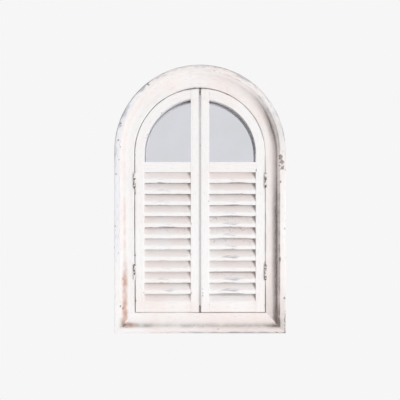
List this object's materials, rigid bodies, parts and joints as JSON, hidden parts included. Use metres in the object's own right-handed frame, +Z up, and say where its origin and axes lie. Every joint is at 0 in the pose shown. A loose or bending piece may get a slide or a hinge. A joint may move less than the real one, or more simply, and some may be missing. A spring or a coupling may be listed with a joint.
{
  "type": "arched shutter mirror",
  "caption": "Arched wall mirror in a distressed white moulded wooden frame, with hinged louvred shutter doors that open in front of the fixed mirror.",
  "frame": {"origin": "midway between the entry holes of the two keyhole hangers, on the wall plane", "axes": "+X to the viewer's right, +Y into the wall (the front faces -Y), +Z up"},
  "size_m": [0.486, 0.057, 0.762],
  "materials": {
    "white_paint": "distressed matte white paint on wood",
    "back_wood": "thin off-white wash on wood",
    "mirror_glass": "silvered glass",
    "backing_board": "brown hardboard",
    "screw_steel": "zinc-plated steel",
    "hanger_steel": "zinc-plated steel plate",
    "hinge_iron": "iron with worn white paint and rust",
    "dowel_wood": "plain beech",
    "magnet": "nickel-plated magnet"
  },
  "bodies": {
    "frame": {"moulding_jamb_left": "white_paint", "moulding_arch_left": "white_paint", "back_stile_left": "back_wood", "back_arch_left": "back_wood", "moulding_jamb_right": "white_paint", "moulding_arch_right": "white_paint", "back_stile_right": "back_wood", "back_arch_right": "back_wood", "moulding_sill": "white_paint", "back_rail": "back_wood", "mirror_glass": "mirror_glass", "back_panel": "backing_board", "panel_screws": "screw_steel", "frame_screws": "screw_steel", "frame_dowels": "dowel_wood", "hanger_plates": "hanger_steel", "door_magnets": "magnet", "frame_hinge_leaves": "hinge_iron", "hinge_pins": "hinge_iron", "frame_small_screws": "screw_steel"},
    "left_door": {"door_left_hinge_stile": "white_paint", "door_left_meeting_stile": "white_paint", "door_left_arch_rail": "white_paint", "door_left_mid_rail": "white_paint", "door_left_bottom_rail": "white_paint", "door_left_slat_01": "white_paint", "door_left_slat_02": "white_paint", "door_left_slat_03": "white_paint", "door_left_slat_04": "white_paint", "door_left_slat_05": "white_paint", "door_left_slat_06": "white_paint", "door_left_slat_07": "white_paint", "door_left_slat_08": "white_paint", "door_left_slat_09": "white_paint", "door_left_slat_10": "white_paint", "door_left_slat_11": "white_paint", "door_left_dowels": "dowel_wood", "door_left_hinge_leaves": "hinge_iron", "door_left_hinge_screws": "screw_steel", "door_left_strike": "screw_steel"},
    "right_door": {"door_right_hinge_stile": "white_paint", "door_right_meeting_stile": "white_paint", "door_right_arch_rail": "white_paint", "door_right_mid_rail": "white_paint", "door_right_bottom_rail": "white_paint", "door_right_slat_01": "white_paint", "door_right_slat_02": "white_paint", "door_right_slat_03": "white_paint", "door_right_slat_04": "white_paint", "door_right_slat_05": "white_paint", "door_right_slat_06": "white_paint", "door_right_slat_07": "white_paint", "door_right_slat_08": "white_paint", "door_right_slat_09": "white_paint", "door_right_slat_10": "white_paint", "door_right_slat_11": "white_paint", "door_right_dowels": "dowel_wood", "door_right_hinge_leaves": "hinge_iron", "door_right_hinge_screws": "screw_steel", "door_right_strike": "screw_steel"}
  },
  "joints": [
    {"name": "right_door_hinge", "type": "hinge", "parent": "frame", "child": "right_door", "pos_m": [0.1875, -0.0428, 0], "axis": [0, 0, 1], "range_deg": [0, 130]},
    {"name": "left_door_hinge", "type": "hinge", "parent": "frame", "child": "left_door", "pos_m": [-0.1875, -0.0428, 0], "axis": [0, 0, -1], "range_deg": [0, 130]}
  ]
}
